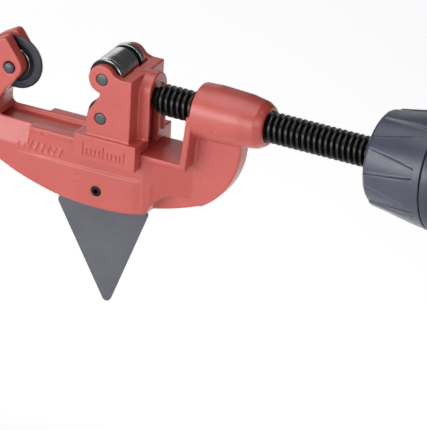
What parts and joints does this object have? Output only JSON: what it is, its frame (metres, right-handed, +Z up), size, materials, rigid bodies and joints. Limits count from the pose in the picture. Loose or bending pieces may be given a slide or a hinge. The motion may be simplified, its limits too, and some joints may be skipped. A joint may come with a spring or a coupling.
{
  "type": "pipe cutter",
  "caption": "Screw-fed pipe cutter: red C frame with a cutter wheel in its fork, a roller carriage on a rail, a black feed screw, a ribbed knob and a folding deburring blade.",
  "frame": {"origin": "centre of the cutter wheel, midway across the fork", "axes": "+X along the feed screw from the cutter wheel to the knob, +Y across the tool along the roller pins, +Z up, away from the deburring blade"},
  "size_m": [0.1741, 0.038, 0.0928],
  "materials": {
    "red_paint": "satin red enamel on a zinc die casting",
    "wheel_steel": "dark ground tool steel",
    "roller_steel": "bright turned steel",
    "pin_steel": "flat grey steel",
    "spring_steel": "dark spring steel",
    "black_screw": "black oxide, lightly oiled",
    "knob_plastic": "slate grey moulded plastic, fine satin texture",
    "cap_plastic": "darker grey moulded plastic",
    "seal_rubber": "black rubber",
    "blade_steel": "phosphated grey steel sheet"
  },
  "bodies": {
    "frame_body": {"frame": "red_paint", "wheel_pin": "pin_steel", "wheel_pin_clip": "spring_steel", "deburrer_pin": "spring_steel", "near_blade_washer": "spring_steel", "far_blade_washer": "spring_steel"},
    "wheel_body": {"cutter_wheel": "wheel_steel"},
    "carriage_body": {"carriage": "red_paint", "upper_roller_pin": "pin_steel", "lower_roller_pin": "pin_steel", "thrust_washer": "spring_steel"},
    "upper_roller_body": {"upper_roller": "roller_steel"},
    "lower_roller_body": {"lower_roller": "roller_steel"},
    "screw_body": {"spindle": "black_screw", "knob": "knob_plastic", "knob_core": "pin_steel", "knob_pin": "pin_steel"},
    "cap_body": {"knob_cap": "cap_plastic", "cap_seal": "seal_rubber", "spare_wheel_post": "pin_steel", "spare_wheel": "wheel_steel"},
    "blade_body": {"deburrer_blade": "blade_steel"}
  },
  "joints": [
    {"name": "carriage_feed", "type": "slide", "parent": "frame_body", "child": "carriage_body", "axis": [1, 0, 0], "range_m": [-0.0219, 0.0083]},
    {"name": "knob_turn", "type": "hinge", "parent": "carriage_body", "child": "screw_body", "pos_m": [0.05, 0, 0], "axis": [1, 0, 0], "range_deg": [-3945, 1495]},
    {"name": "cutter_wheel_spin", "type": "hinge", "parent": "frame_body", "child": "wheel_body", "pos_m": [0, 0, 0], "axis": [0, 1, 0], "continuous": true},
    {"name": "upper_roller_spin", "type": "hinge", "parent": "carriage_body", "child": "upper_roller_body", "pos_m": [0.0354, 0, 0.0067], "axis": [0, 1, 0], "continuous": true},
    {"name": "lower_roller_spin", "type": "hinge", "parent": "carriage_body", "child": "lower_roller_body", "pos_m": [0.0354, 0, -0.0067], "axis": [0, 1, 0], "continuous": true},
    {"name": "blade_fold", "type": "hinge", "parent": "frame_body", "child": "blade_body", "pos_m": [0.0339, 0, -0.033], "axis": [0, -1, 0], "range_deg": [0, 102]},
    {"name": "cap_pull", "type": "slide", "parent": "screw_body", "child": "cap_body", "axis": [1, 0, 0], "range_m": [0, 0.014]}
  ],
  "couplings": [
    {"joint": "knob_turn", "follows": "carriage_feed", "rad_per_m": 3141.6}
  ]
}
